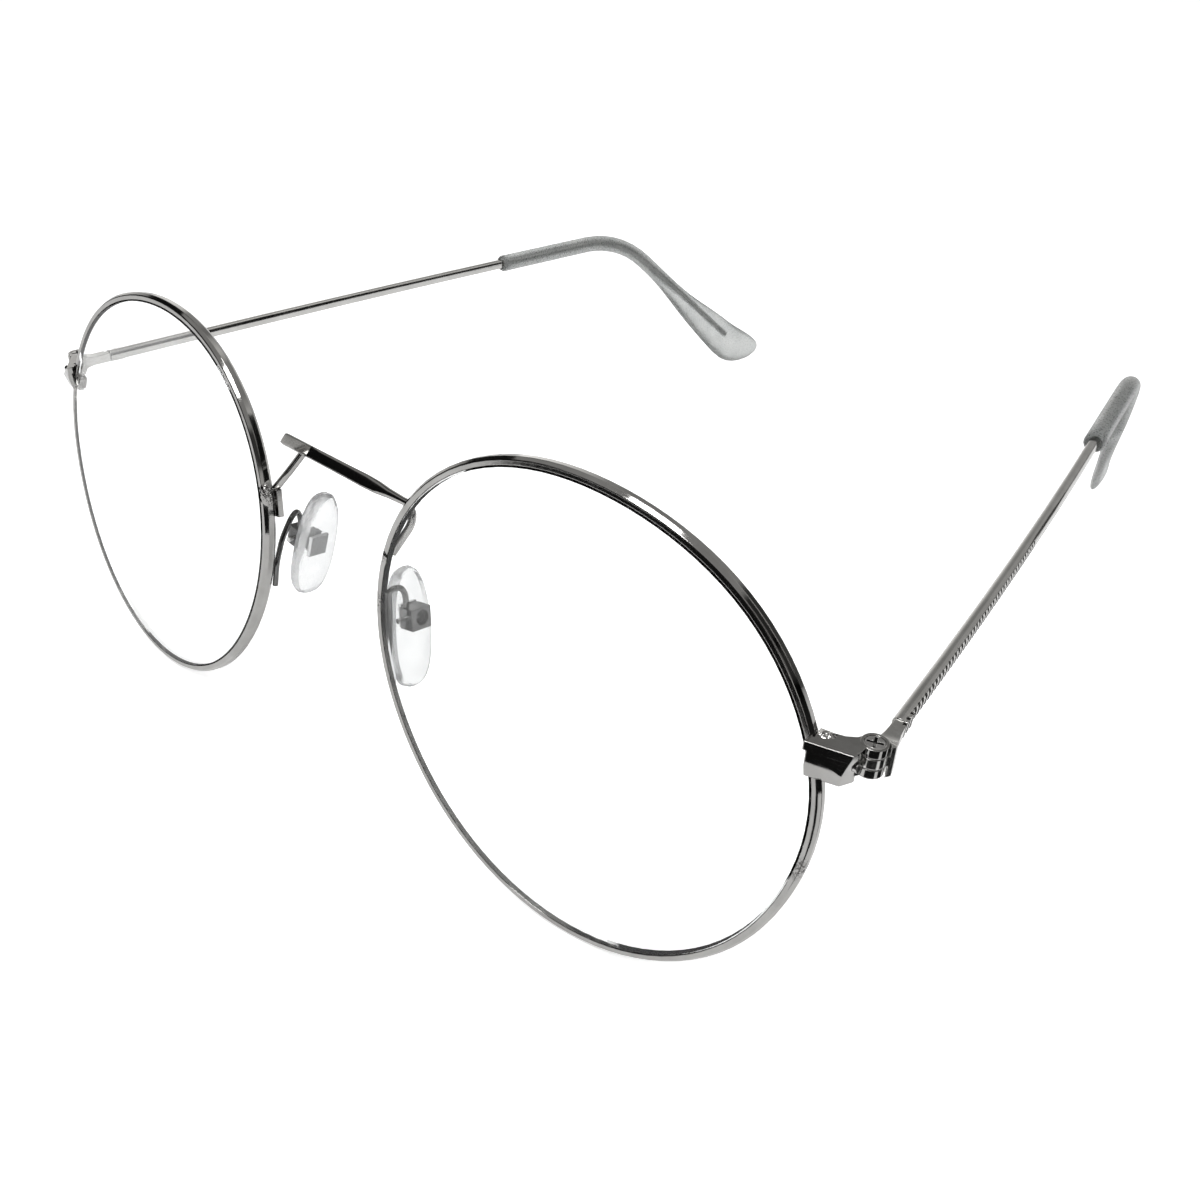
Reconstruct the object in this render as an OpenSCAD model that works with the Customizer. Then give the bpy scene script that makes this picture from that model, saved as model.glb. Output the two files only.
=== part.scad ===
// Round wire-rim eyeglasses with folding temples.
// Datum frame: origin midway between the two rims, +X to the wearer's left,
// +Y back towards the ear ends, +Z up. Everything is then shifted so that the
// origin lies under the middle of the whole object, on the surface it stands on.

/* [Part] */
// Which piece to draw

/* [Front] */
// Half of the distance between the two rim centres
rim_x = 35.0; // [32:0.1:40]
// Mean radius of the rim wire
rim_r = 25.0; // [20:0.5:28]
// Rim wire, radial height
rim_h = 0.9; // [0.8:0.05:1.6]
// Rim wire, front to back
rim_t = 1.45; // [1.2:0.05:2.6]
// Lens thickness
lens_t = 1.6; // [1.2:0.1:2.2]
// Backward turn of each rim about its upright middle line
wrap = 5.73; // [0:0.1:8]
// Backward lean of the whole front
lean = 6.93; // [0:0.1:10]

/* [Temples] */
// Distance of each hinge axis outside the rim's mean radius
hinge_out = 2.9; // [2:0.1:4]
// Hinge axis behind the datum
hinge_y = 5.9; // [4:0.1:8]
// Sideways lean of both hinge axes, so that one folded temple passes above the other
hinge_tilt = 1.2; // [0:0.1:2]
// Height of the temple wire at the hinge
arm_z = 7.05; // [6:0.1:8]
// Length of the bowed wire, hinge to sleeve
arm_len = 75.3; // [65:0.5:85]
// Wire diameter
arm_d = 1.5; // [1.2:0.05:2.0]
// Radius of the inward bow of the wire
bow_r = 1414; // [800:1:3000]
// Inward heading of the wire at the hinge
toe_in = 5.9; // [0:0.1:10]
// Upward slope of the temples
arm_rise = 1.0; // [0:0.1:3]
// Number of engraved strokes on each temple
strokes = 46; // [0:1:60]
// Spacing of the strokes
stroke_pitch = 0.86; // [0.6:0.01:1.2]

/* [Ear ends] */
// Straight run of the sleeve before its bend
tip_run = 19.5; // [12:0.5:30]
// Bend radius of the sleeve
tip_bend_r = 21.5; // [14:0.5:30]
// Drop of the left ear end
tip_drop_left = 45; // [20:1:60]
// Drop of the right ear end
tip_drop_right = 41; // [20:1:60]
// Inward tilt of the bend
tip_roll = 7.5; // [0:0.5:20]
// Length of the sleeve along its middle line
tip_len = 75.4; // [60:0.5:90]
// Diameter of the round part of the sleeve
tip_d = 2.75; // [2.2:0.05:3.6]
// Width of the paddle
paddle_w = 7.6; // [5:0.1:10]
// Thickness of the paddle
paddle_t = 1.9; // [1.4:0.1:3]

/* [Nose pads] */
// Pad length
pad_len = 13.9; // [10:0.1:16]
// Pad width
pad_w = 5.7; // [5:0.1:9]
// Pad thickness
pad_t = 1.8; // [1.2:0.1:3]

/* [Hidden] */
$fn = 48;
arc_fn = 240;
bow_fn = 3600;

// Middle of the rim's nose side, and the hinge axis
nose_x = rim_x - rim_r;
hinge_x = rim_x + rim_r + hinge_out;

// Shift from the datum frame to the frame that is handed in
mid_y = 70.8;
stand_z = 25.7;

// Clearances
seat_gap = 0.02;
run_gap = 0.05;
knuckle_gap = 0.1;

// Rim outline: how far the radius departs from a circle
stretch_wide = 0.011;
stretch_slant = -0.0484;
stretch_low = 0.0192;
stretch_square = -0.005;
// Pull of the end piece on the wire
pull = 0.36;
pull_angle = 6;
pull_power = 16;
// Offset of the rim middle from the datum, backward and upward
rim_back = 0.31;
rim_up = -0.15;
rim_steps = 96;
split_angle = 0.34;
groove = 0.35;
seat_angle = 17.5;

// Hinge levels and sizes
top_z = 8.8;
plate_z = 7.9;
block_z = 5.0;
low_z = 5.75;
low_knuckle_z = 6.65;
hinge_mid = 7.3;
rivet_y = 4.02;
rivet_z = 7.05;
barrel_r = 1.22;
pin_d = 0.8;
head_d = 1.75;
head_h = 0.45;

// Sleeve and core wire
core_d = 1.2;
core_len = 64.3;
mouth_r = 1.05;

// Bridge
bar_left = [-nose_x - 1.2, 2.6, 13.5];
bar_right = [nose_x + 1.1, 2.4, 12.9];
bar_t = 0.8;
strut_d = 0.9;
// Width of the bar at fractions of its length, from its blunt end to its hook
bar_widths = [
  [0, 1.25], [0.02, 1.4], [0.3, 1.4], [0.5, 1.42], [0.63, 1.5], [0.72, 1.4], [0.8, 1.05], [0.9, 0.86]
];

// Nose pad set
// Pin of each pad: past the rim's nose side, behind the datum, and height
pin_left = [-0.93, 1.75, -0.05];
pin_right = [-0.5, 4.02, -0.1];
// Middle of each pad from its pin, backward and upward
hang_left = [0.8, -1.9];
hang_right = [0.08, 0.05];
pad_lean_in = 11;
pad_lean_back = 8.5;
pad_pin_x = 2.1;
pad_pin_d = 0.6;
arm_wire_d = 0.66;
insert_w = 2.2;
insert_h = 2.6;
insert_drop = 1.4;
insert_y = -0.7;
box_low = [1.35, -1.3, -1.2];
box_size = [2.0, 2.6, 2.4];
cup_depth = 0.6;

metal = [0.72, 0.73, 0.75];
steel = [0.6, 0.61, 0.63];
clear = [0.85, 0.9, 0.92, 0.35];
frost = [0.8, 0.82, 0.82, 0.6];

// Outline of one rim, seen from the front, 0 degrees at the temple side

function pulled(a) = max(0, cos(a - pull_angle));

function rim_radius(a) = rim_r * (1 + stretch_wide * cos(2 * a) + stretch_slant * sin(2 * a)
  + stretch_low * sin(3 * a) + stretch_square * cos(4 * a)) + pull * pow(pulled(a), pull_power);

function rim_slope(a) = rim_r * (-2 * stretch_wide * sin(2 * a) + 2 * stretch_slant * cos(2 * a)
  + 3 * stretch_low * cos(3 * a) - 4 * stretch_square * sin(4 * a))
  - pull * pull_power * pow(pulled(a), pull_power - 1) * sin(a - pull_angle);

function rim_point(a) = rim_radius(a) * [cos(a), sin(a)];

function rim_heading(a) = a + 90 - atan2(rim_slope(a), rim_radius(a));

function ray(a) = [cos(a), sin(a)];

module place() {
  translate([0, -mid_y, stand_z])
    children();
}

module on_side(side) {
  mirror([side < 0 ? 1 : 0, 0, 0])
    children();
}

// Local frame of one rim: outline in XY seen from the front, +Z to the front
module rim_frame(side) {
  on_side(side)
    rotate([-lean, 0, 0])
      translate([rim_x, rim_back, rim_up])
        rotate([0, 0, wrap])
          rotate([90, 0, 0])
            children();
}

// The same with the origin on the rim wire at angle a, +Y along the wire
module rim_station(side, a) {
  rim_frame(side)
    translate([rim_point(a)[0], rim_point(a)[1], 0])
      rotate([0, 0, rim_heading(a) - 90])
        children();
}

// Where a point of that station lies, for the left rim
function rim_spot(a, p) =
  let (h = rim_heading(a) - 90,
    u = rim_point(a) + [p[0] * cos(h) - p[1] * sin(h), p[0] * sin(h) + p[1] * cos(h)],
    x = rim_x + u[0] * cos(wrap) + p[2] * sin(wrap),
    y = rim_back + u[0] * sin(wrap) - p[2] * cos(wrap),
    z = rim_up + u[1])
  [x, y * cos(lean) + z * sin(lean), z * cos(lean) - y * sin(lean)];

function unit(v) = v / norm(v);

module rod(a, b, d) {
  v = b - a;
  translate(a)
    rotate([0, acos(v[2] / norm(v)), atan2(v[1], v[0])])
      cylinder(h = norm(v), d = d);
}

// Points of a line through the corners, each corner rounded over the given reach
function rounded(corners, reach, steps) = [
  for (i = [0 : len(corners) - 1])
    let (c = corners[i])
    if (i == 0 || i == len(corners) - 1) c
    else
      let (a = corners[i - 1] - c, b = corners[i + 1] - c,
        m = min(reach, norm(a) / 2 - 0.01, norm(b) / 2 - 0.01),
        p = c + m * unit(a), q = c + m * unit(b))
      each [
        for (k = [0 : steps])
          let (t = k / steps)
          (1 - t) * (1 - t) * p + 2 * t * (1 - t) * c + t * t * q
      ]
];

function headings(path) = [
  for (i = [0 : len(path) - 1])
    unit(path[min(i + 1, len(path) - 1)] - path[max(i - 1, 0)])
];

// Sideways directions carried along the headings without twist
function carried(along, e, i = 0) = i == len(along) ? []
  : let (f = unit(e - (e * along[i]) * along[i]))
    concat([f], carried(along, f, i + 1));

// Rings across a path; sizes gives half width, half depth and corner power for each point
function sweep_rings(path, sizes, e, n) =
  let (along = headings(path), across = carried(along, e))
  [
    for (i = [0 : len(path) - 1])
      let (f = across[i], g = cross(along[i], across[i]), z = sizes[i])
      [
        for (k = [0 : n - 1])
          let (a = (k + 0.5) * 360 / n, c = cos(a), s = sin(a))
          path[i] + z[0] * sign(c) * pow(abs(c), z[2]) * f + z[1] * sign(s) * pow(abs(s), z[2]) * g
      ]
  ];

module wire(path, d, n) {
  skin(sweep_rings(path, [for (p = path) [d / 2, d / 2, 1]], [1, 0.3, 0.2], n));
}

// Closed skin over a list of rings with equal numbers of points
module skin(rings) {
  n = len(rings[0]);
  last = len(rings) - 1;
  polyhedron(
    points = [for (r = rings) each r],
    faces = concat(
      [[for (i = [0 : n - 1]) i]],
      [[for (i = [n - 1 : -1 : 0]) last * n + i]],
      [
        for (k = [0 : last - 1], i = [0 : n - 1])
          let (j = (i + 1) % n)
          each [
            [k * n + i, (k + 1) * n + i, (k + 1) * n + j],
            [k * n + i, (k + 1) * n + j, k * n + j]
          ]
      ]
    )
  );
}

function ease(u) = u <= 0 ? 0 : u >= 1 ? 1 : u * u * (3 - 2 * u);

// Section of the rim wire, radial and front to back, with the lens groove inside
rim_section = [
  [-rim_h / 2 + groove, 0],
  [-rim_h / 2, rim_t / 2 - 0.1],
  [-rim_h / 2 + 0.1, rim_t / 2],
  [rim_h / 2 - 0.3, rim_t / 2],
  [rim_h / 2, rim_t / 2 - 0.4],
  [rim_h / 2, -rim_t / 2 + 0.4],
  [rim_h / 2 - 0.3, -rim_t / 2],
  [-rim_h / 2 + 0.1, -rim_t / 2],
  [-rim_h / 2, -rim_t / 2 + 0.1]
];

module rim(side) {
  span = 360 - 2 * split_angle;
  color(metal)
    rim_frame(side)
      skin([
        for (i = [0 : rim_steps])
          let (a = seat_angle + split_angle + i * span / rim_steps,
            p = rim_point(a), out = ray(rim_heading(a) - 90))
          [for (q = rim_section) [p[0] + q[0] * out[0], p[1] + q[0] * out[1], q[1]]]
      ]);
}

module lens(side) {
  // edge line and faces follow the slopes of the groove
  edge = -rim_h / 2 + groove - seat_gap;
  inset = groove * lens_t / (rim_t - 0.2);
  color(clear)
    rim_frame(side)
      skin([
        for (k = [-1 : 1])
          [
            for (i = [0 : rim_steps - 1])
              let (a = i * 360 / rim_steps,
                p = (1 + (edge - abs(k) * inset) / rim_radius(a)) * rim_point(a))
              [p[0], p[1], k * lens_t / 2]
          ]
      ]);
}

// Solder block on the back of the rim wire
foot_angle = 164.3;
foot_size = [0.8, 3.2, 0.65];

module bridge_foot(side) {
  rim_station(side, foot_angle)
    translate([0.4, 0, -rim_t / 2 - seat_gap - foot_size[2] / 2])
      cube(foot_size, center = true);
}

module bridge() {
  foot = rim_spot(foot_angle, [-0.19, -1.56, -1.19]);
  hook = foot + [1.0, 1.95, 3.0];
  path = concat(
    [for (r = bar_widths) bar_left + r[0] * (bar_right - bar_left)],
    rounded([bar_left + 0.93 * (bar_right - bar_left), bar_right, hook, foot], 0.9, 5)
  );
  // flat over most of its length, round at the hook
  sizes = [
    for (i = [0 : len(path) - 1])
      let (w = i < len(bar_widths) ? bar_widths[i][1] : strut_d,
        u = ease((i - 3) / 4), t = bar_t + u * (strut_d - bar_t) - (i == 0 ? 0.25 : 0))
      [w / 2, t / 2, 0.35 + 0.65 * u]
  ];
  color(metal)
    union() {
      skin(sweep_rings(path, sizes, [0, 0.7, 0.7], 16));
      wire([bar_left + [3.75, 0, -0.2], [1.35 - foot[0], foot[1] + 1.25, foot[2] + 2.25], [-foot[0], foot[1], foot[2]]], strut_d, 16);
      bridge_foot(1);
      bridge_foot(-1);
    }
}

// End piece with its two hinge knuckles, drawn from the hinge axis outward
front_corner = [-4.5, 1.9];
front_end = [-0.34, 2.93];
bevel_z = 6.35;

// Upright frame whose height follows the leaning hinge axis
module hinge_frame(side) {
  translate([0, hinge_y, hinge_mid])
    rotate([0, side * hinge_tilt, 0])
      translate([0, 0, -hinge_mid])
        children();
}

module knuckle(side, z0, z1) {
  hinge_frame(side)
    translate([0, 0, z0])
      cylinder(h = z1 - z0, r = barrel_r);
}

module end_piece(side) {
  turn = atan2(front_end[1] - front_corner[1], front_end[0] - front_corner[0]);
  facet = side > 0 ? 0.05 : -0.55;
  base_z = side > 0 ? block_z : block_z + 0.6;
  color(metal)
    on_side(side)
      difference() {
        translate([hinge_x, 0, 0])
          difference() {
            union() {
              // strap that runs from the block to the upper knuckle
              translate([0, 0, plate_z])
                linear_extrude(top_z - plate_z)
                  polygon([
                    front_corner, front_end, [-0.18, 4.2], [-0.05, 5.1], [0, 5.9],
                    [-1.0, 6.25], [-1.42, 5.48], [-2.2, 4.9], [-3.1, 4.6], [-4.5, 4.4]
                  ]);
              translate([0, 0, base_z])
                linear_extrude(plate_z - base_z)
                  polygon([
                    front_corner + [0.3, 0.07], front_end, [0.05, 3.3], [-0.6, 3.45], [-0.6, 4.6],
                    [-3.1, 4.6], [-4.2, 4.4]
                  ]);
              translate([0, 0, low_z])
                linear_extrude(low_knuckle_z - low_z)
                  polygon([
                    [-1.7, 4.1], [-0.65, 4.1], [-0.05, 5.1], [0, 5.9], [-0.9, 6.1], [-1.5, 5.0]
                  ]);
              knuckle(side, plate_z, top_z);
              knuckle(side, low_z, low_knuckle_z);
            }
            // bevel along the lower front edge
            translate([front_corner[0], front_corner[1], bevel_z + base_z - block_z])
              rotate([0, 0, turn])
                rotate([90, 0, 90])
                  translate([0, 0, -1])
                    linear_extrude(8)
                      polygon([[-0.5, 1.95], [0.6, -2.34], [-0.5, -2.34]]);
            // facet across the outer front corner
            translate([front_end[0], front_end[1], top_z])
              rotate([0, 13, -25])
                translate([facet, -4, -6])
                  cube([3, 5.4, 12]);
            // upper front corner of the right piece, filed off
            if (side < 0)
              translate([-1.19, 4.2, top_z])
                rotate([0, -31, -54])
                  translate([0, -6, -6])
                    cube([3, 6.9, 12]);
            // screw head recess and thread
            hinge_frame(side) {
              translate([0, 0, top_z - head_h - 0.05])
                cylinder(h = 1, d = head_d + 0.1);
              translate([0, 0, low_z - 1])
                cylinder(h = top_z - low_z + 2, d = pin_d + 0.02);
            }
            // hole for the rivet
            rod([-2.4, rivet_y, rivet_z], [-0.3, rivet_y, rivet_z], 0.62);
          }
        // seat for the rim wire
        rim_station(1, seat_angle)
          translate([-2.5, -4, -4])
            cube([2.5 + rim_h / 2 + seat_gap, 8, 4 + max(rim_t, lens_t) / 2 + seat_gap]);
      }
}

module hinge_screw(side) {
  color(steel)
    on_side(side)
      translate([hinge_x, 0, 0])
        hinge_frame(side)
          difference() {
            union() {
              translate([0, 0, top_z - head_h - 0.03])
                cylinder(h = head_h, d = head_d);
              translate([0, 0, low_z + 0.1])
                cylinder(h = top_z - low_z - head_h, d = pin_d);
            }
            for (a = [20, 110])
              translate([0, 0, top_z - 0.05])
                rotate([0, 0, a])
                  cube([head_d - 0.3, 0.26, 0.5], center = true);
          }
}

module hinge_rivet(side) {
  color(steel)
    on_side(side)
      translate([hinge_x, 0, 0])
        union() {
          rod([-2.2, rivet_y, rivet_z], [-0.5, rivet_y, rivet_z], 0.6);
          rod([-0.58, rivet_y, rivet_z], [-0.14, rivet_y, rivet_z], 1.0);
        }
}

// Clamp that closes the split rim, with its screw
lock_len = 1.7;
lock_y = -0.65;
lock_z = -1.35;
lock_bore = 0.5;

module rim_lock(side) {
  color(metal)
    rim_station(side, seat_angle)
      difference() {
        union() {
          translate([-0.4, lock_y - lock_len / 2, lock_z - lock_bore])
            cube([0.83, lock_len, lock_bore - lock_z - rim_t / 2 - seat_gap]);
          translate([-0.75, lock_y - lock_len / 2, lock_z - lock_bore])
            cube([1.18, lock_len, 2 * lock_bore]);
        }
        translate([-0.2, lock_y, lock_z])
          rotate([90, 0, 0])
            cylinder(h = 4, d = lock_bore + 0.02, center = true);
      }
}

module lock_screw(side) {
  color(steel)
    rim_station(side, seat_angle)
      translate([-0.2, lock_y, lock_z])
        rotate([90, 0, 0])
          difference() {
            union() {
              translate([0, 0, 0.2 - lock_len / 2])
                cylinder(h = lock_len - 0.1, d = lock_bore);
              translate([0, 0, lock_len / 2 + seat_gap])
                cylinder(h = 0.35, d = 0.9);
            }
            translate([0, 0, lock_len / 2 + 0.4])
              cube([2, 0.16, 0.26], center = true);
          }
}

// Frame at a distance s along the bowed wire, +X outward, +Y along the wire
module bow_station(s) {
  translate([hinge_x + 0.14, hinge_y, arm_z])
    rotate([arm_rise, 0, 0])
      rotate([0, 0, toe_in])
        translate([-bow_r, 0, 0])
          rotate([0, 0, s / bow_r * 180 / PI])
            translate([bow_r, 0, 0])
              children();
}

module bow(s0, s1) {
  bow_station(s0)
    translate([-bow_r, 0, 0])
      rotate_extrude(angle = (s1 - s0) / bow_r * 180 / PI, $fn = bow_fn)
        translate([bow_r, 0])
          children();
}

// Flat-sided section of the wire: half widths outward, half heights upward
arm_section = [
  for (q = [[1, 1], [-1, 1], [-1, -1], [1, -1]])
    let (h = arm_d / 2, order = q[0] * q[1] > 0 ? [0, 1, 2] : [2, 1, 0],
      corner = [[h - 0.1, 0.47 * h], [h - 0.25, 0.82 * h], [0.27 * h, h]])
    for (k = order) [q[0] * corner[k][0], q[1] * corner[k][1]]
];

module temple_root(side) {
  difference() {
    intersection() {
      linear_extrude(20)
        polygon([
          [0.4, 5.9], [1.25, 6.0], [1.62, 6.7], [1.45, 7.5], [1.1, 8.3], [0.65, 9.6],
          [0.35, 11.2], [0.08, 13.2], [-1.1, 13.2], [-0.95, 12.3], [-0.8, 11.0],
          [-0.72, 9.8], [-0.66, 8.5], [-0.52, 7.4]
        ]);
      rotate([90, 0, 90])
        translate([0, 0, -5])
          linear_extrude(10)
            polygon([
              [5.5, 5.5], [5.5, 8.7], [6.9, 8.65], [7.5, 8.25], [8.3, 7.75], [9.3, 7.65],
              [13.2, 7.82], [13.2, 6.45], [8.8, 6.5], [7.8, 6.3], [7.35, 5.5]
            ]);
    }
    // room for the knuckles of the end piece
    hinge_frame(side)
      for (z = [[0, low_knuckle_z + knuckle_gap], [plate_z - knuckle_gap, 20]])
        translate([0, 0, z[0]])
          cylinder(h = z[1] - z[0], r = barrel_r + 0.15);
  }
}

module temple(side, drop) {
  color(metal)
    on_side(side)
      difference() {
        union() {
          translate([hinge_x, 0, 0]) {
            temple_root(side);
            knuckle(side, low_knuckle_z + knuckle_gap, plate_z - knuckle_gap);
          }
          bow(5.5, arm_len)
            polygon(arm_section);
          bow_station(arm_len)
            tip_plane()
              core_wire(drop);
        }
        translate([hinge_x, 0, 0])
          hinge_frame(side)
            cylinder(h = 20, d = pin_d + 2 * run_gap);
        for (i = [0 : strokes - 1])
          bow_station(5.0 + i * stroke_pitch)
            translate([arm_d / 2 - 0.02 + 0.002 * i, 0, 0])
              rotate([-28, 0, 0])
                cube([0.62, 0.42 - 0.003 * i, 1.5], center = true);
      }
}

// The ear end is drawn in the plane of its bend
module tip_plane() {
  rotate([0, tip_roll, 0])
    rotate([90, 0, 90])
      children();
}

// Each run is a little thinner than the one before it and starts inside it
module core_wire(drop) {
  run = core_len - tip_run - tip_bend_r * drop * PI / 180;
  step = 0.05;
  lap = 0.4;
  translate([-lap, 0, 0])
    rotate([0, 90, 0])
      cylinder(h = tip_run + lap, d = core_d);
  translate([tip_run, -tip_bend_r, 0])
    rotate([0, 0, 90 - drop])
      rotate_extrude(angle = drop + 1, $fn = arc_fn)
        translate([tip_bend_r, 0])
          circle(d = core_d - step);
  translate([tip_run + tip_bend_r * sin(drop), -tip_bend_r * (1 - cos(drop)), 0])
    rotate([0, 0, -drop])
      translate([-lap, 0, 0])
        rotate([0, 90, 0])
          cylinder(h = run + lap, d = core_d - 2 * step);
}

// Point and heading of the middle line at a distance s
function tip_spot(s, drop) =
  let (arc = tip_bend_r * drop * PI / 180)
  s <= tip_run ? [[s, 0], 0]
    : s <= tip_run + arc
      ? let (a = (s - tip_run) / tip_bend_r * 180 / PI)
        [[tip_run + tip_bend_r * sin(a), -tip_bend_r * (1 - cos(a))], a]
      : let (r = s - tip_run - arc)
        [
          [tip_run + tip_bend_r * sin(drop), -tip_bend_r * (1 - cos(drop))]
            + r * [cos(drop), -sin(drop)],
          drop
        ];

end_round = 8.5;
function round_off(s, span) =
  let (u = (s - tip_len + span) / span)
  u <= 0 ? 1 : sqrt(max(0, 1 - u * u));
function tip_half_width(s) = (tip_d / 2 + (paddle_w - tip_d) / 2 * ease((s - 38) / 30))
  * round_off(s, end_round);
function tip_half_depth(s) = (tip_d / 2 + (paddle_t - tip_d) / 2 * ease((s - 40) / 22))
  * round_off(s, 2.5);
function tip_offset(s) = -0.9 * ease((s - 36) / 18) + 3.4 * pow(max(0, (s - 64) / 11.4), 2);

function tip_ring(s, drop, half_w, half_d, shift, n) =
  let (spot = tip_spot(s, drop), up = [sin(spot[1]), cos(spot[1])])
  [
    for (i = [0 : n - 1])
      let (a = i * 360 / n, p = spot[0] + (shift + half_w * cos(a)) * up)
      [p[0], p[1], half_d * sin(a)]
  ];

module temple_tip(side, drop) {
  ring_n = 16;
  stops = concat(
    [0, 0.35],
    [for (s = [2.2 : 2.2 : tip_len - end_round - 0.5]) s],
    [for (j = [0 : 7]) tip_len - end_round * (1 - sin(j * 86 / 7))]
  );
  bore = concat([0, 1.3], [for (s = [4 : 2.4 : core_len - 1]) s], [core_len + 0.2]);
  outer = [
    for (s = stops)
      let (lip = s == 0 ? 0.2 : 0)
      tip_ring(s, drop, tip_half_width(s) - lip, tip_half_depth(s) - lip, tip_offset(s), ring_n)
  ];
  inner = [
    for (s = bore)
      let (r = s == 0 ? mouth_r : core_d / 2 + seat_gap)
      tip_ring(s, drop, r, r, 0, ring_n)
  ];
  // one skin: from the closed far end of the bore, out of the mouth, over the outside
  rings = concat([for (k = [len(inner) - 1 : -1 : 0]) inner[k]], outer);
  color(frost)
    on_side(side)
      bow_station(arm_len)
        tip_plane()
          skin(rings);
}

// Frame at the pad pin: +X away from the nose, +Z up the pad
module pad_frame(side) {
  on_side(side)
    translate([nose_x, 0, 0] + (side > 0 ? pin_left : pin_right))
      rotate([-pad_lean_back, -pad_lean_in, 0])
        children();
}

function pad_edge(hang, inset, x, n) = [
  for (i = [0 : n - 1])
    let (a = i * 360 / n, c = cos(a), s = sin(a))
    [
      x,
      hang[0] + (pad_w / 2 - inset) * sign(c) * pow(abs(c), 0.78) * (1 - 0.08 * s),
      hang[1] + (pad_len / 2 - inset) * sign(s) * pow(abs(s), 0.84)
    ]
];

module nose_pad(side) {
  n = 36;
  hang = side > 0 ? hang_left : hang_right;
  color(clear)
    pad_frame(side)
      difference() {
        skin([
          pad_edge(hang, 0.75, -pad_t / 2, n), pad_edge(hang, 0.3, -pad_t / 2 + 0.25, n),
          pad_edge(hang, 0, -0.1, n), pad_edge(hang, 0.1, pad_t / 2 - 0.35, n),
          pad_edge(hang, 0.45, pad_t / 2, n)
        ]);
        translate([pad_t / 2 - 0.75, insert_y - seat_gap, -insert_drop - seat_gap])
          cube([2, insert_w + 2 * seat_gap, insert_h + 2 * seat_gap]);
      }
}

module pad_insert(side) {
  color(steel)
    pad_frame(side)
      difference() {
        union() {
          translate([pad_t / 2 - 0.73, insert_y, -insert_drop])
            cube([0.7, insert_w, insert_h]);
          translate([pad_t / 2 - 0.1, -0.45, -0.6])
            cube([pad_pin_x - pad_t / 2 + 0.1, 0.9, 1.2]);
          translate([pad_pin_x, 0, 0])
            rotate([90, 0, 0])
              cylinder(h = 0.9, d = 1.2, center = true);
        }
        translate([pad_pin_x, 0, 0])
          rotate([90, 0, 0])
            cylinder(h = 3, d = pad_pin_d + 2 * run_gap, center = true);
      }
}

module pad_box(side) {
  color(metal)
    pad_frame(side)
      difference() {
        translate(box_low)
          cube(box_size);
        translate([0.9, -0.55, -0.95])
          cube([2.0, 1.1, 1.9]);
        // round cup on the outer side
        translate([box_low[0] + box_size[0] - cup_depth, 0.1, 0.1])
          rotate([0, 90, 0])
            cylinder(h = 1, d = 1.7);
        translate([pad_pin_x, 0, 0])
          rotate([90, 0, 0])
            cylinder(h = 4, d = pad_pin_d + 0.02, center = true);
      }
}

module pad_screw(side) {
  color(steel)
    pad_frame(side)
      translate([pad_pin_x, 0, 0])
        rotate([90, 0, 0])
          union() {
            translate([0, 0, -1.35])
              cylinder(h = 3.6, d = pad_pin_d);
            translate([0, 0, -1.62])
              cylinder(h = 0.3, d = 1.1);
          }
}

// Where a point of the pad frame lies
function pad_spot(side, p) =
  let (pin = side > 0 ? pin_left : pin_right,
    y = p[1] * cos(pad_lean_back) + p[2] * sin(pad_lean_back),
    z = -p[1] * sin(pad_lean_back) + p[2] * cos(pad_lean_back))
  [
    nose_x + pin[0] + p[0] * cos(pad_lean_in) - z * sin(pad_lean_in),
    pin[1] + y,
    pin[2] + p[0] * sin(pad_lean_in) + z * cos(pad_lean_in)
  ];

// The wire rises from the rim, loops over and ends on top of the box
module pad_arm(side) {
  top = box_low[2] + box_size[2];
  root = rim_spot(188.5, [0.3, 0, -1.14]);
  bends = side > 0
    ? [[-0.05, 0.42, 2.5], [-0.2, 0.68, 5.3], [-0.3, 0.85, 7.95], [0.3, 2.0, 8.15]]
    : [[-0.3, 0.35, 2.9], [-0.25, 1.5, 5.7], [-0.1, 3.2, 7.85], [0.55, 4.6, 8.0]];
  color(metal)
    on_side(side)
      wire(rounded(concat(
        [root],
        [for (b = bends) root + b],
        [pad_spot(side, [2.1, -0.9, top + 1.4]), pad_spot(side, [1.95, -0.9, top + seat_gap])]
      ), 0.9, 5), arm_wire_d, 12);
}

// Pieces, one line each
place() rim(1);  // rim_left
place() rim(-1);  // rim_right
place() lens(1);  // lens_left
place() lens(-1);  // lens_right
place() bridge();
place() end_piece(1);  // end_piece_left
place() end_piece(-1);  // end_piece_right
place() rim_lock(1);  // rim_lock_left
place() rim_lock(-1);  // rim_lock_right
place() lock_screw(1);  // lock_screw_left
place() lock_screw(-1);  // lock_screw_right
place() hinge_rivet(1);  // hinge_rivet_left
place() hinge_rivet(-1);  // hinge_rivet_right
place() hinge_screw(1);  // hinge_screw_left
place() hinge_screw(-1);  // hinge_screw_right
place() temple(1, tip_drop_left);  // temple_left
place() temple(-1, tip_drop_right);  // temple_right
place() temple_tip(1, tip_drop_left);  // temple_tip_left
place() temple_tip(-1, tip_drop_right);  // temple_tip_right
place() pad_arm(1);  // pad_arm_left
place() pad_arm(-1);  // pad_arm_right
place() pad_box(1);  // pad_box_left
place() pad_box(-1);  // pad_box_right
place() pad_screw(1);  // pad_screw_left
place() pad_screw(-1);  // pad_screw_right
place() nose_pad(1);  // nose_pad_left
place() nose_pad(-1);  // nose_pad_right
place() pad_insert(1);  // pad_insert_left
place() pad_insert(-1);  // pad_insert_right
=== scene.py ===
import math
import bpy
from mathutils import Matrix, Vector

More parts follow.
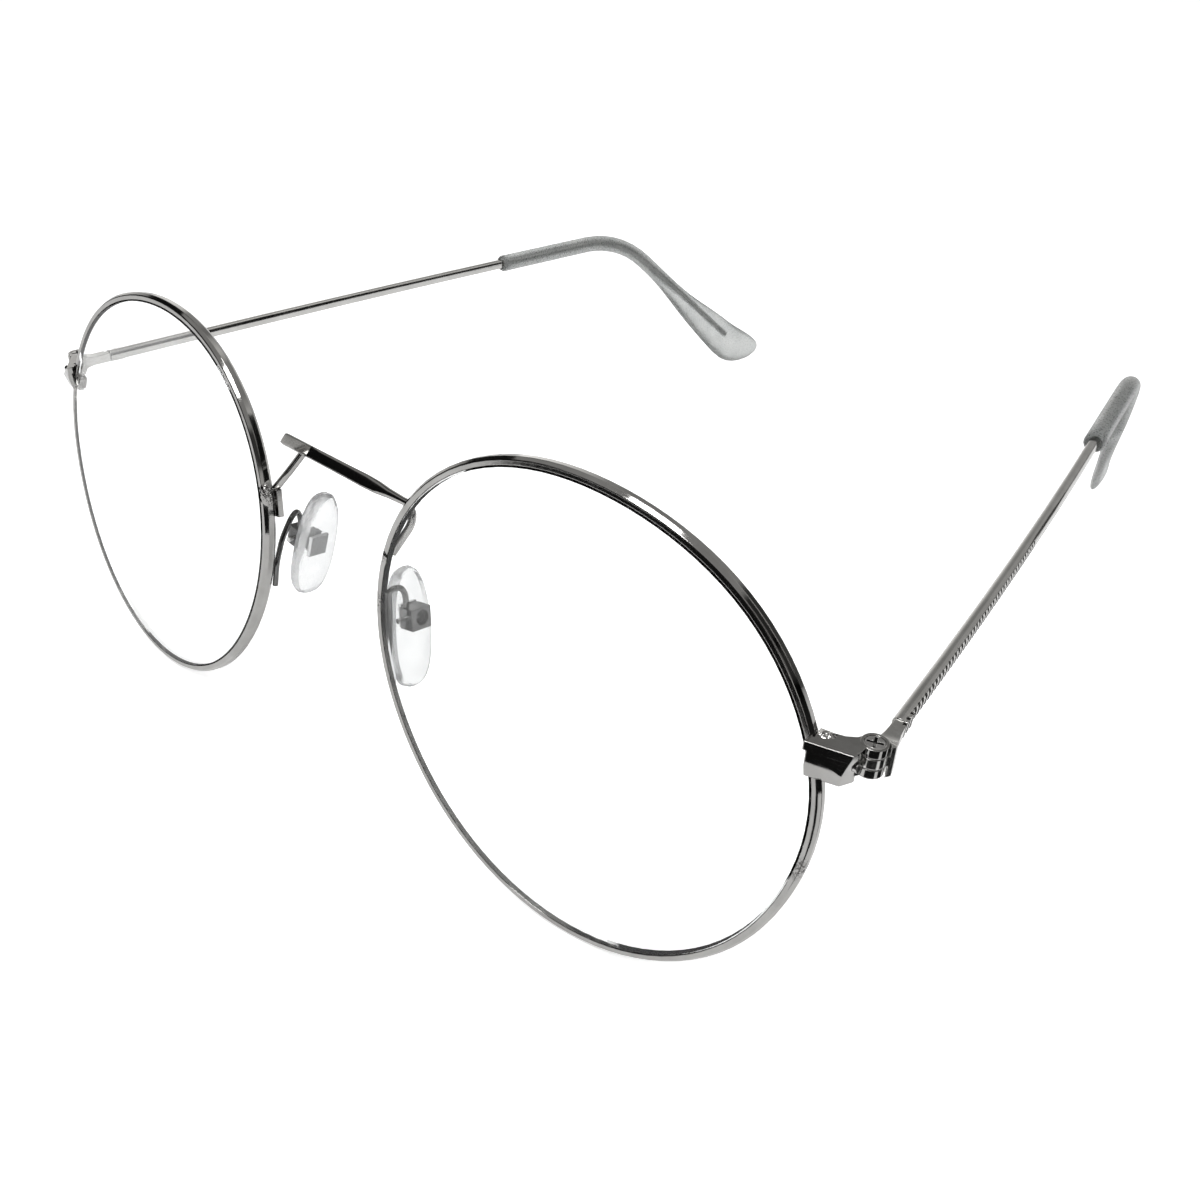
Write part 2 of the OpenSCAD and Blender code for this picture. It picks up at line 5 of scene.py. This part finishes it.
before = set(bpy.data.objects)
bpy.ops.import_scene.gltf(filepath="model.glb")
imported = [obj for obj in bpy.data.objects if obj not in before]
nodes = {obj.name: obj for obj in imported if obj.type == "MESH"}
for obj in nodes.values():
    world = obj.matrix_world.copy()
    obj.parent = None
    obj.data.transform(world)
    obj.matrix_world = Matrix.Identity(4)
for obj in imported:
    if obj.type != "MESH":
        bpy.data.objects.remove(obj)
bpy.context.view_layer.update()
scene = bpy.context.scene

MM = 0.001
WHITE = (1.0, 1.0, 1.0)


# small helpers for node trees
class Tree:
    """A short way to write a node tree."""

    def __init__(self, tree):
        self.tree = tree

    def new(self, kind, **values):
        node = self.tree.nodes.new(kind)
        for key, value in values.items():
            setattr(node, key, value)
        return node

    def put(self, socket, value):
        """Links a socket to the input, or sets a plain value or colour on it."""
        if isinstance(value, bpy.types.NodeSocket):
            self.tree.links.new(value, socket)
        elif isinstance(value, tuple) and len(value) == 3 and socket.type == "RGBA":
            socket.default_value = (*value, 1.0)
        else:
            socket.default_value = value

    def fill(self, node, **values):
        """Puts values on a node's inputs, named with _ for a space."""
        for key, value in values.items():
            self.put(node.inputs[key.replace("_", " ")], value)
        return node

    def math(self, operation, a, b=0.0):
        node = self.new("ShaderNodeMath", operation=operation)
        self.put(node.inputs[0], a)
        self.put(node.inputs[1], b)
        return node.outputs[0]

    def times(self, a, b):
        return self.math("MULTIPLY", a, b)

    def plus(self, a, b):
        return self.math("ADD", a, b)

    def rest_of(self, a):
        return self.math("SUBTRACT", 1.0, a)

    def mix(self, share, a, b):
        node = self.new("ShaderNodeMix", data_type="RGBA")
        self.put(node.inputs[0], share)
        self.put(node.inputs[6], a)
        self.put(node.inputs[7], b)
        return node.outputs[2]

    def mix_shader(self, share, a, b):
        node = self.new("ShaderNodeMixShader")
        for i, value in enumerate((share, a, b)):
            self.put(node.inputs[i], value)
        return node.outputs[0]

    def noise(self, vector, scale, detail=3.0, rough=0.5):
        node = self.new("ShaderNodeTexNoise")
        self.fill(node, Vector=vector, Scale=scale, Detail=detail, Roughness=rough)
        return node.outputs["Fac"]

    def ramp(self, value, lo, hi, out_lo=0.0, out_hi=1.0):
        node = self.new("ShaderNodeMapRange", clamp=True)
        for i, v in enumerate((value, lo, hi, out_lo, out_hi)):
            self.put(node.inputs[i], v)
        return node.outputs[0]

    def stretch(self, vector, scale, turn=(0, 0, 0)):
        node = self.new("ShaderNodeMapping")
        self.put(node.inputs["Vector"], vector)
        node.inputs["Scale"].default_value = scale
        node.inputs["Rotation"].default_value = turn
        return node.outputs[0]

    def split(self, vector):
        node = self.new("ShaderNodeSeparateXYZ")
        self.put(node.inputs[0], vector)
        return node.outputs

    def vector_math(self, operation, vector, fixed):
        node = self.new("ShaderNodeVectorMath", operation=operation)
        self.put(node.inputs[0], vector)
        node.inputs[1].default_value = fixed
        return node.outputs["Value"]

    def near(self, where, spot, size, core):
        """1 round a spot, out to the share core of its size, then falling to 0 at its size."""
        return self.ramp(self.vector_math("DISTANCE", where, spot), size, size * core)

    def crevice(self, distance, lo, hi):
        """0 on open faces, 1 in slots and corners, where painted shade goes."""
        node = self.new("ShaderNodeAmbientOcclusion", samples=8, only_local=True)
        node.inputs["Distance"].default_value = distance
        return self.ramp(node.outputs["AO"], lo, hi)

    def soft_edge(self, radius):
        """Normal that rounds an edge off, as tumbling and plating do."""
        node = self.new("ShaderNodeBevel", samples=6)
        node.inputs["Radius"].default_value = radius
        return node.outputs[0]

    def bump(self, height, strength, distance, normal=None):
        node = self.new("ShaderNodeBump")
        self.fill(node, Height=height, Strength=strength, Distance=distance)
        if normal is not None:
            self.put(node.inputs["Normal"], normal)
        return node.outputs[0]

    def background(self, colour, strength):
        node = self.fill(self.new("ShaderNodeBackground"), Color=colour, Strength=strength)
        return node.outputs[0]


def material(name):
    """A new empty material, its tree, its output and the place on the piece."""
    look = bpy.data.materials.new(name)
    look.use_nodes = True
    look.node_tree.nodes.clear()
    t = Tree(look.node_tree)
    out = t.new("ShaderNodeOutputMaterial")
    where = t.new("ShaderNodeTexCoord").outputs["Object"]
    return look, t, out, where


def shader(t, out):
    """The main shader, joined to the output."""
    b = t.new("ShaderNodeBsdfPrincipled")
    t.put(out.inputs["Surface"], b.outputs[0])
    return b


# materials: tones are linear, lengths are in metres
def plated_metal(name, dark, pale, rough=(0.05, 0.11), scratch=0.05,
                 marks=(), solder=(), bends=()):
    """Polished plating: cloudy tone, hairlines, rounded edges, scuffs, painted shade in crevices,
    solder, slight bends.
    """
    look, t, out, where = material(name)
    b = shader(t, out)
    cloud = t.noise(where, 260, 4, 0.6)
    fine = t.noise(where, 2600, 3, 0.6)
    tone = t.mix(t.ramp(cloud, 0.35, 0.65), dark, pale)

    # two sets of hairlines that cross
    lines = t.noise(t.stretch(where, (900, 160, 900), (0.5, 0.3, 0.9)), 6, 4, 0.7)
    cross = t.noise(t.stretch(where, (150, 1100, 700), (0.2, 0.9, 0.4)), 6, 4, 0.7)
    hair = t.math("MAXIMUM", t.ramp(lines, 0.62, 0.72), t.ramp(cross, 0.64, 0.74))
    bright = tuple(min(1.0, c * 1.4) for c in pale)
    tone = t.mix(t.times(hair, 0.1), tone, bright)
    wear = t.plus(t.times(cloud, 0.7), t.times(fine, 0.3))
    gloss = t.ramp(wear, 0.35, 0.65, *rough)
    gloss = t.plus(gloss, t.times(hair, 0.03))

    # small scuffs, where the plating is worn through
    for spot, size in marks:
        grains = t.ramp(t.noise(where, 3800, 5, 0.7), 0.45, 0.58)
        worn = t.times(t.near(where, spot, size, 0.3), grains)
        tone = t.mix(t.times(worn, 0.75), tone, (0.03, 0.028, 0.026))
        gloss = t.plus(gloss, t.times(worn, 0.35))

    # painted shade: the tone goes near black in slots, engraved strokes and between parts
    painted_shade = t.crevice(0.5 * MM, 0.72, 0.45)
    tone = t.mix(t.times(painted_shade, 0.93), tone, (0.02, 0.019, 0.018))
    gloss = t.plus(gloss, t.times(painted_shade, 0.3))
    t.fill(b, Metallic=1.0, Base_Color=tone, Roughness=gloss)

    normal = t.bump(hair, scratch, 0.01 * MM, t.soft_edge(0.14 * MM))
    normal = t.bump(fine, scratch * 0.5, 0.006 * MM, normal)
    for spot, size in solder:
        lumps = t.times(t.near(where, spot, size, 0.5), t.noise(where, 1500, 2, 0.5))
        normal = t.bump(lumps, 1.0, 0.8 * MM, normal)
    for x_low, x_high, rise in bends:
        normal = t.bump(t.ramp(t.split(where)["X"], x_low, x_high), 1.0, rise, normal)
    t.put(b.inputs["Normal"], normal)
    return look


def lens_glass(name):
    """Clear coated glass with a faint film of wiping marks."""
    look, t, out, where = material(name)
    b = shader(t, out)
    film = t.noise(t.stretch(where, (60, 240, 90), (0.4, 0.2, 0.7)), 4, 4, 0.6)
    tone = t.mix(t.ramp(film, 0.4, 0.7), (0.995, 1.0, 0.998), (0.985, 0.99, 0.988))
    gloss = t.ramp(film, 0.5, 0.8, 0.0, 0.015)
    t.fill(b, IOR=1.5, Specular_IOR_Level=0.12, Transmission_Weight=1.0,
           Base_Color=tone, Roughness=gloss)
    return look


def clear_silicone(name):
    """Soft clear plastic, milky in its thickness, with painted shade turning it grey toward its
    outline.
    """
    look, t, out, where = material(name)
    b = shader(t, out)
    cloud = t.noise(where, 420, 4, 0.6)
    grain = t.noise(where, 5200, 3, 0.6)
    tone = t.mix(t.ramp(cloud, 0.35, 0.65), (0.84, 0.85, 0.855), (0.93, 0.935, 0.935))
    # painted shade: the tone turns grey where the view grazes the pad, along its outline
    facing = t.new("ShaderNodeLayerWeight")
    facing.inputs["Blend"].default_value = 0.5
    painted_outline_shade = t.times(t.ramp(facing.outputs["Facing"], 0.45, 0.9), 0.85)
    tone = t.mix(painted_outline_shade, tone, (0.34, 0.35, 0.38))
    gloss = t.ramp(cloud, 0.35, 0.7, 0.05, 0.16)
    normal = t.bump(grain, 0.1, 0.03 * MM, t.bump(cloud, 0.3, 0.2 * MM))
    t.fill(b, IOR=1.41, Transmission_Weight=0.8, Base_Color=tone, Roughness=gloss, Normal=normal)
    return look


def frosted_tip(name):
    """Translucent grey sleeve over the temple's wire core."""
    look, t, out, where = material(name)
    b = shader(t, out)
    cloud = t.noise(where, 300, 4, 0.6)
    grain = t.noise(where, 4200, 4, 0.7)
    tone = t.mix(t.ramp(cloud, 0.35, 0.65), (0.47, 0.485, 0.48), (0.57, 0.58, 0.57))
    gloss = t.ramp(grain, 0.3, 0.7, 0.24, 0.34)
    normal = t.bump(grain, 0.05, 0.02 * MM, t.bump(cloud, 0.3, 0.3 * MM))
    t.fill(b, IOR=1.45, Transmission_Weight=0.85, Base_Color=tone, Roughness=gloss, Normal=normal)
    return look


def steel(name):
    """Bright turned steel of the small screws and pins."""
    look, t, out, where = material(name)
    b = shader(t, out)
    cloud = t.noise(where, 900, 3, 0.6)
    turned = t.noise(t.stretch(where, (300, 300, 5200)), 3, 4, 0.7)
    tone = t.mix(t.ramp(cloud, 0.35, 0.65), (0.5, 0.495, 0.49), (0.66, 0.655, 0.65))
    # painted shade: the tone goes near black in the screw slots and round the heads
    painted_shade = t.crevice(0.4 * MM, 0.75, 0.5)
    tone = t.mix(t.times(painted_shade, 0.95), tone, (0.01, 0.01, 0.01))
    gloss = t.ramp(turned, 0.3, 0.7, 0.1, 0.24)
    normal = t.bump(turned, 0.2, 0.01 * MM, t.soft_edge(0.08 * MM))
    t.fill(b, Metallic=1.0, Base_Color=tone, Roughness=gloss, Normal=normal)
    return look


# places and sizes of scuffs on the left rim, and of solder at the end pieces and the bridge's feet
SCUFFS = (((0.0602, -0.0692, 0.0212), 1.6 * MM), ((0.0099, -0.0725, 0.0289), 1.8 * MM))
SOLDER = (((0.0592, -0.0665, 0.0347), 1.0 * MM), ((-0.0592, -0.0665, 0.0347), 0.9 * MM),
          ((-0.0098, -0.0715, 0.034), 1.6 * MM), ((0.0098, -0.0715, 0.034), 1.6 * MM))
# where the bridge starts to lean at its right end: from x, to x, rise
BRIDGE_BEND = ((-0.0115, -0.0064, 0.6 * MM),)

NICKEL_DARK = (0.36, 0.355, 0.345)
NICKEL_PALE = (0.43, 0.425, 0.415)
front = plated_metal("front_plating", NICKEL_DARK, NICKEL_PALE, marks=SCUFFS, solder=SOLDER)
bar = plated_metal("bridge_plating", NICKEL_DARK, NICKEL_PALE, bends=BRIDGE_BEND)
arms = plated_metal("temple_plating", (0.52, 0.515, 0.5), (0.6, 0.595, 0.58), (0.1, 0.2), 0.1)
# painted shade: pad arms and boxes take a far darker tone than the front's plating, for their dark
# look
pad_metal_painted_dark = plated_metal("pad_plating", (0.1, 0.1, 0.1), (0.17, 0.17, 0.168), (0.06, 0.14), 0.1)
screws = steel("screw_steel_turned")
glass = lens_glass("lens_clear")
silicone = clear_silicone("pad_clear")
tips = frosted_tip("tip_frosted")

# each kind of piece: its material and the width of its bevelled edges in millimetres
LOOKS = {
    "rim": (front, 0.12),
    "bridge": (bar, 0.1),
    "end_piece": (front, 0.1),
    "rim_lock": (front, 0.1),
    "temple_tip": (tips, 0.0),
    "temple": (arms, 0.0),
    "lens": (glass, 0.0),
    "lock_screw": (screws, 0.04),
    "hinge_rivet": (screws, 0.06),
    "hinge_screw": (screws, 0.06),
    "pad_screw": (screws, 0.05),
    "pad_arm": (pad_metal_painted_dark, 0.0),
    "pad_box": (pad_metal_painted_dark, 0.08),
    "pad_insert": (pad_metal_painted_dark, 0.08),
    "nose_pad": (silicone, 0.0),
}
CREASE = math.radians(32)
SHARP = math.radians(50)
WELD = 1e-7


# shading of the construction's own meshes
def clean_shading():
    """Joins the split corners and shades round forms smooth, up to a crease."""
    group = bpy.data.node_groups.new("clean_shading", "GeometryNodeTree")
    for way in ("INPUT", "OUTPUT"):
        group.interface.new_socket("Geometry", in_out=way, socket_type="NodeSocketGeometry")
    t = Tree(group)
    drop = t.new("GeometryNodeRemoveAttribute")
    drop.inputs["Name"].default_value = "custom_normal"
    weld = t.new("GeometryNodeMergeByDistance")
    weld.inputs["Distance"].default_value = WELD
    faces = t.new("GeometryNodeSetShadeSmooth", domain="FACE")
    edges = t.new("GeometryNodeSetShadeSmooth", domain="EDGE")
    edges.inputs["Shade Smooth"].default_value = False
    angle = t.new("GeometryNodeInputMeshEdgeAngle")
    crease = t.new("FunctionNodeCompare", data_type="FLOAT", operation="GREATER_THAN")
    crease.inputs[1].default_value = CREASE
    t.put(crease.inputs[0], angle.outputs["Unsigned Angle"])
    t.put(edges.inputs["Selection"], crease.outputs[0])
    chain = (t.new("NodeGroupInput"), drop, weld, faces, edges, t.new("NodeGroupOutput"))
    for a, b in zip(chain, chain[1:]):
        t.put(b.inputs[0], a.outputs[0])
    return group


shading = clean_shading()
for name, piece in nodes.items():
    kind = name.replace("_left", "").replace("_right", "")
    look, edge = LOOKS[kind]
    for slot in piece.material_slots:
        slot.material = look
    piece.modifiers.new("clean", "NODES").node_group = shading
    if edge:
        bevel = piece.modifiers.new("edge", "BEVEL")
        bevel.width = edge * MM
        bevel.segments = 2
        bevel.limit_method = "ANGLE"
        bevel.angle_limit = SHARP
        bevel.harden_normals = False


# floor and cards
def plane(name, points):
    mesh = bpy.data.meshes.new(name)
    mesh.from_pydata(points, [], [tuple(range(len(points)))])
    o = bpy.data.objects.new(name, mesh)
    scene.collection.objects.link(o)
    return o


def ray_kinds(t):
    """What is seen straight or through glass, and what is seen in polished metal."""
    path = t.new("ShaderNodeLightPath").outputs
    straight = t.math("MAXIMUM", path["Is Camera Ray"], path["Is Transmission Ray"])
    mirrored = t.math("GREATER_THAN", path["Glossy Depth"], 0.5)
    mirrored = t.times(mirrored, t.math("MAXIMUM", straight, path["Is Glossy Ray"]))
    return t.times(straight, t.rest_of(mirrored)), mirrored


FLOOR_HALF = 3
FLOOR_Z = -0.02 * MM
CORNERS = ((-1, -1), (1, -1), (1, 1), (-1, 1))
floor = plane("floor", [(x * FLOOR_HALF, y * FLOOR_HALF, FLOOR_Z) for x, y in CORNERS])
look, t, out, where = material("pale_floor")
matt = t.new("ShaderNodeBsdfDiffuse")
t.put(matt.inputs["Color"], t.mix(t.noise(where, 30, 3), (0.9, 0.9, 0.9), (0.92, 0.92, 0.92)))
clear, mirrored = ray_kinds(t)
glow = t.new("ShaderNodeEmission")
t.fill(glow, Color=WHITE, Strength=t.plus(t.times(clear, 0.55), t.times(mirrored, 0.12)))
both = t.new("ShaderNodeAddShader")
t.put(both.inputs[0], matt.outputs[0])
t.put(both.inputs[1], glow.outputs[0])
t.put(out.inputs["Surface"], both.outputs[0])
floor.data.materials.append(look)

card_look, t, out, where = material("dark_card")
black = t.fill(t.new("ShaderNodeBsdfDiffuse"), Color=(0.012, 0.012, 0.012))
t.put(out.inputs["Surface"], black.outputs[0])


def card(name, points):
    """A dark card, which only the polished metal mirrors."""
    o = plane(name, points)
    o.data.materials.append(card_look)
    o.visible_camera = False
    o.visible_diffuse = False
    o.visible_transmission = False
    o.visible_shadow = False
    o.visible_volume_scatter = False


# a dark sheet on the table, with a slanted end in front of the object and a slot beside it
CARD_Z = 0.4 * MM
DARK_SHEET = ((0.30, -0.025), (0.088, -0.025), (0.088, -0.06), (0.15, -0.063), (0.15, -0.08),
              (0.088, -0.076), (0.088, -0.088), (0.0565, -0.097), (0.0565, -0.131),
              (0.045, -0.138), (-0.07, -0.225), (-0.12, -0.8), (0.3, -0.8))
card("card_front", [(x, y, CARD_Z) for x, y in DARK_SHEET])
# upright cards to the left of the picture, in front of the object and beside it
card("card_left", [(-0.6, -0.8, 0.0), (-0.6, 0.0, 0.0), (-0.6, 0.0, 0.56), (-0.6, -0.8, 0.56)])
card("card_far", [(-0.6, -0.8, 0.0), (0.3, -0.8, 0.0), (0.3, -0.8, 0.5), (-0.6, -0.8, 0.56)])
SIDE_X = 0.217
SIDE_OUTLINE = ((-0.02, -0.02), (0.07, 0.0), (0.12, 0.2), (0.13, 0.32), (0.08, 0.3))
card("card_side", [(SIDE_X, y, z) for y, z in SIDE_OUTLINE])

# the world: white where it is seen, soft as a light, and a grey room in the metal
world = bpy.data.worlds.new("studio")
scene.world = world
world.use_nodes = True
world.node_tree.nodes.clear()
t = Tree(world.node_tree)
out = t.new("ShaderNodeOutputWorld")
heading = t.new("ShaderNodeTexCoord").outputs["Generated"]


def toward(azimuth, elevation, inner, outer):
    """1 within the inner angle of a direction, 0 beyond the outer one, all in degrees."""
    az, el = math.radians(azimuth), math.radians(elevation)
    aim = (math.cos(az) * math.cos(el), math.sin(az) * math.cos(el), math.sin(el))
    cosine = t.vector_math("DOT_PRODUCT", heading, aim)
    return t.ramp(cosine, math.cos(math.radians(outer)), math.cos(math.radians(inner)))


# azimuth, elevation, inner and outer angle, and what is added there: windows and pale walls
PALE = ((54, 24, 12, 26, 0.45), (135, 10, 8, 18, 0.55), (118, 58, 5, 14, 0.7),
        (150, 20, 4, 12, 0.45), (27, 36, 8, 18, 0.3))
# the same for dark furniture, with the share that stays
DARK = ((-142, 36, 9, 13, 0.06), (161, 45, 7, 14, 0.1), (114, 38, 8, 16, 0.65),
        (68, 12, 15, 18, 0.1), (-55, 26, 9, 13, 0.15), (-12, 46, 9, 12, 0.1),
        (-9, 29, 10, 13, 0.1))
axes = t.split(heading)
# the room is pale low down, near the table, and grey higher up
level = t.ramp(axes["Z"], 0.04, 0.3, 0.9, 0.4)
for az, el, inner, outer, more in PALE:
    level = t.plus(level, t.times(toward(az, el, inner, outer), more))
for az, el, inner, outer, share in DARK:
    level = t.times(level, t.rest_of(t.times(toward(az, el, inner, outer), 1 - share)))
# a dark wall low down at the object's left
side = t.times(t.ramp(axes["X"], 0.62, 0.7), t.ramp(axes["Z"], 0.44, 0.38))
level = t.times(level, t.rest_of(t.times(side, 0.97)))

clear, mirrored = ray_kinds(t)
seen = t.mix_shader(clear, t.background(WHITE, 0.45), t.background(WHITE, 1.0))
seen = t.mix_shader(mirrored, seen, t.background((1.0, 0.99, 0.97), level))
t.put(out.inputs["Surface"], seen)


# lamps
def lamp(name, at, size, power):
    """A soft rectangular lamp, aimed at the middle of the frame."""
    light = bpy.data.lights.new(name, "AREA")
    light.shape = "RECTANGLE"
    light.size, light.size_y = size
    light.energy = power
    o = bpy.data.objects.new(name, light)
    scene.collection.objects.link(o)
    o.location = at
    o.rotation_mode = "QUATERNION"
    o.rotation_quaternion = (Vector(MIDDLE) - Vector(at)).to_track_quat("-Z", "Y")
    o.visible_camera = False
    return o


MIDDLE = (0.0, -0.04, 0.03)
lamp("key", (0.0, -0.345, 0.715), (0.22, 0.46), 3.2)
fill = lamp("fill", (0.55, 0.2, 0.55), (0.5, 0.5), 1.2)
fill.visible_glossy = False

# camera, from the fit to the photograph
lens = bpy.data.cameras.new("camera")
camera = bpy.data.objects.new("camera", lens)
scene.collection.objects.link(camera)
scene.camera = camera
lens.sensor_width = 36.0
lens.lens = 35.5376
lens.clip_start, lens.clip_end = 0.01, 20
camera.matrix_world = Matrix((
    (0.76250456, -0.36864941, 0.53168073, 0.0935159),
    (0.64593064, 0.38691817, -0.65807897, -0.1400254),
    (0.03688349, 0.84521709, 0.53314883, 0.0962189),
    (0, 0, 0, 1)))

scene.view_settings.view_transform = "Standard"
